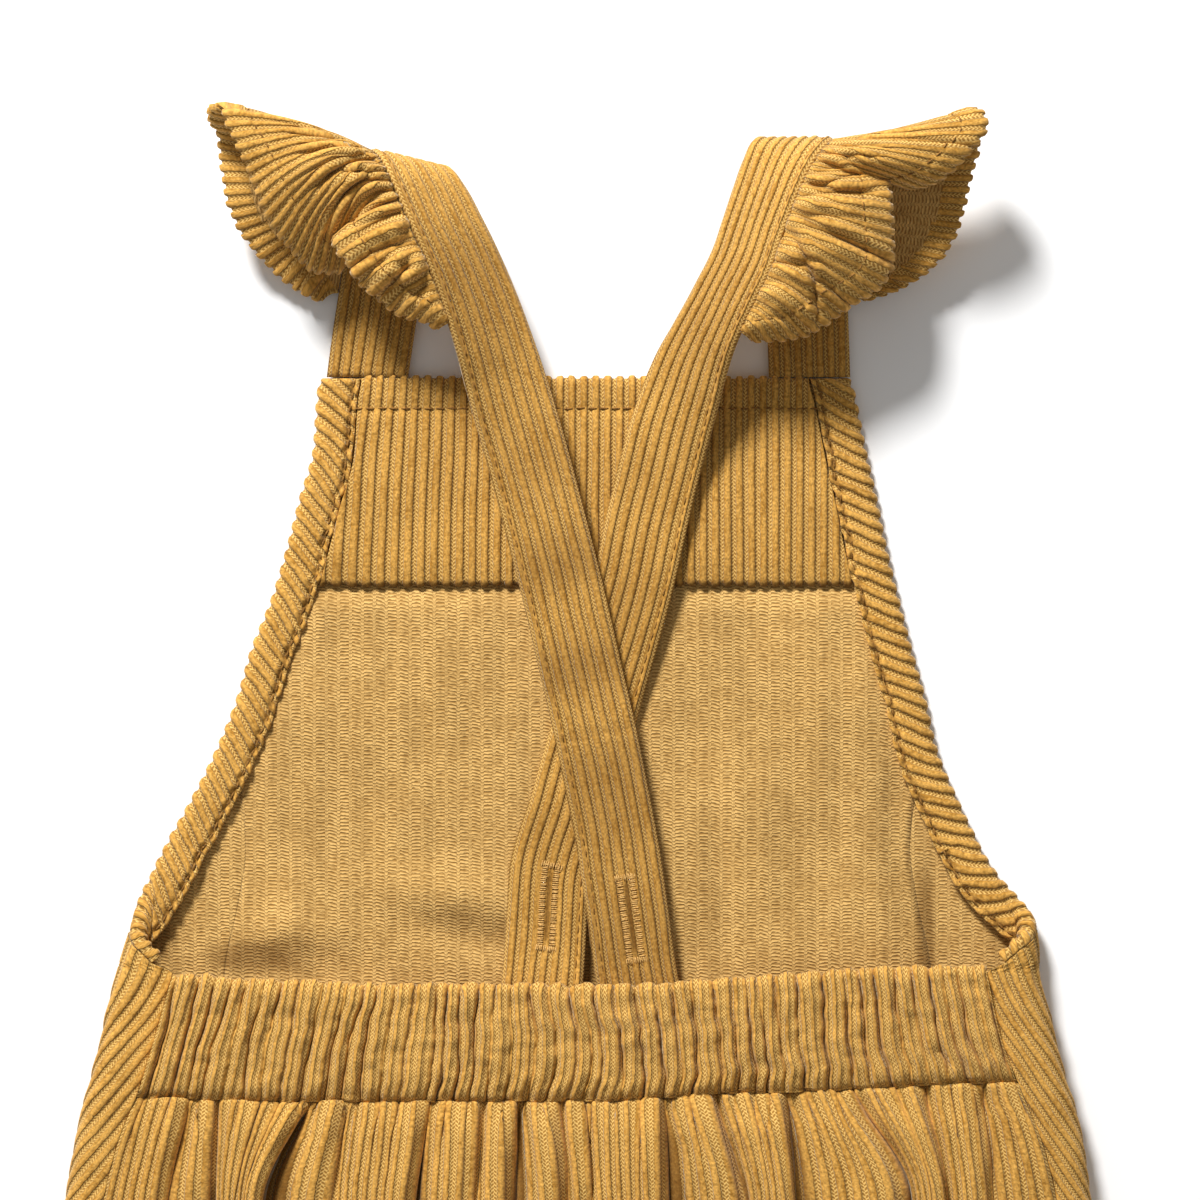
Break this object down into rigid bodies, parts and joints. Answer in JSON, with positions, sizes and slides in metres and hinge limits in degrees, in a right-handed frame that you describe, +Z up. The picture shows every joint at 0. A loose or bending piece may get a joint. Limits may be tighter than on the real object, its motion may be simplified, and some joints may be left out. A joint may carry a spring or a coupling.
{
  "type": "corduroy bodysuit",
  "caption": "Baby's wide-ribbed corduroy bodysuit laid flat, back up: bib front, crossed straps with shoulder ruffles, gathered waist casing, crotch snaps.",
  "frame": {"origin": "on the surface the garment lies on, under the middle of its outline", "axes": "+Z up from the surface, towards the garment's back; +Y towards the shoulders; +X to the right as seen from above, which is the wearer's right"},
  "size_m": [0.268, 0.4285, 0.0321],
  "materials": {
    "front_panel": "cotton corduroy, woven wrong side up, ribbed pile on the underside",
    "bib_facing": "ribbed cotton corduroy pile",
    "side_panel_left": "ribbed cotton corduroy pile",
    "side_panel_right": "ribbed cotton corduroy pile",
    "armhole_binding_left": "ribbed cotton corduroy pile",
    "armhole_binding_right": "ribbed cotton corduroy pile",
    "waist_casing": "ribbed cotton corduroy pile",
    "back_panel": "ribbed cotton corduroy pile",
    "strap_left": "ribbed cotton corduroy pile",
    "strap_right": "ribbed cotton corduroy pile",
    "ruffle_left": "ribbed cotton corduroy pile",
    "ruffle_right": "ribbed cotton corduroy pile",
    "button_left": "dull horn brown",
    "button_right": "dull horn brown",
    "snap_cap_1": "satin",
    "snap_cap_2": "satin",
    "snap_cap_3": "satin",
    "snap_stud_1": "satin",
    "snap_stud_2": "satin",
    "snap_stud_3": "satin"
  },
  "bodies": {
    "root": {"front_panel": "front_panel", "bib_facing": "bib_facing", "side_panel_left": "side_panel_left", "side_panel_right": "side_panel_right", "armhole_binding_left": "armhole_binding_left", "armhole_binding_right": "armhole_binding_right", "waist_casing": "waist_casing", "back_panel": "back_panel", "strap_left": "strap_left", "strap_right": "strap_right", "ruffle_left": "ruffle_left", "ruffle_right": "ruffle_right", "button_left": "button_left", "button_right": "button_right", "snap_cap_1": "snap_cap_1", "snap_cap_2": "snap_cap_2", "snap_cap_3": "snap_cap_3", "snap_stud_1": "snap_stud_1", "snap_stud_2": "snap_stud_2", "snap_stud_3": "snap_stud_3"}
  },
  "joints": []
}
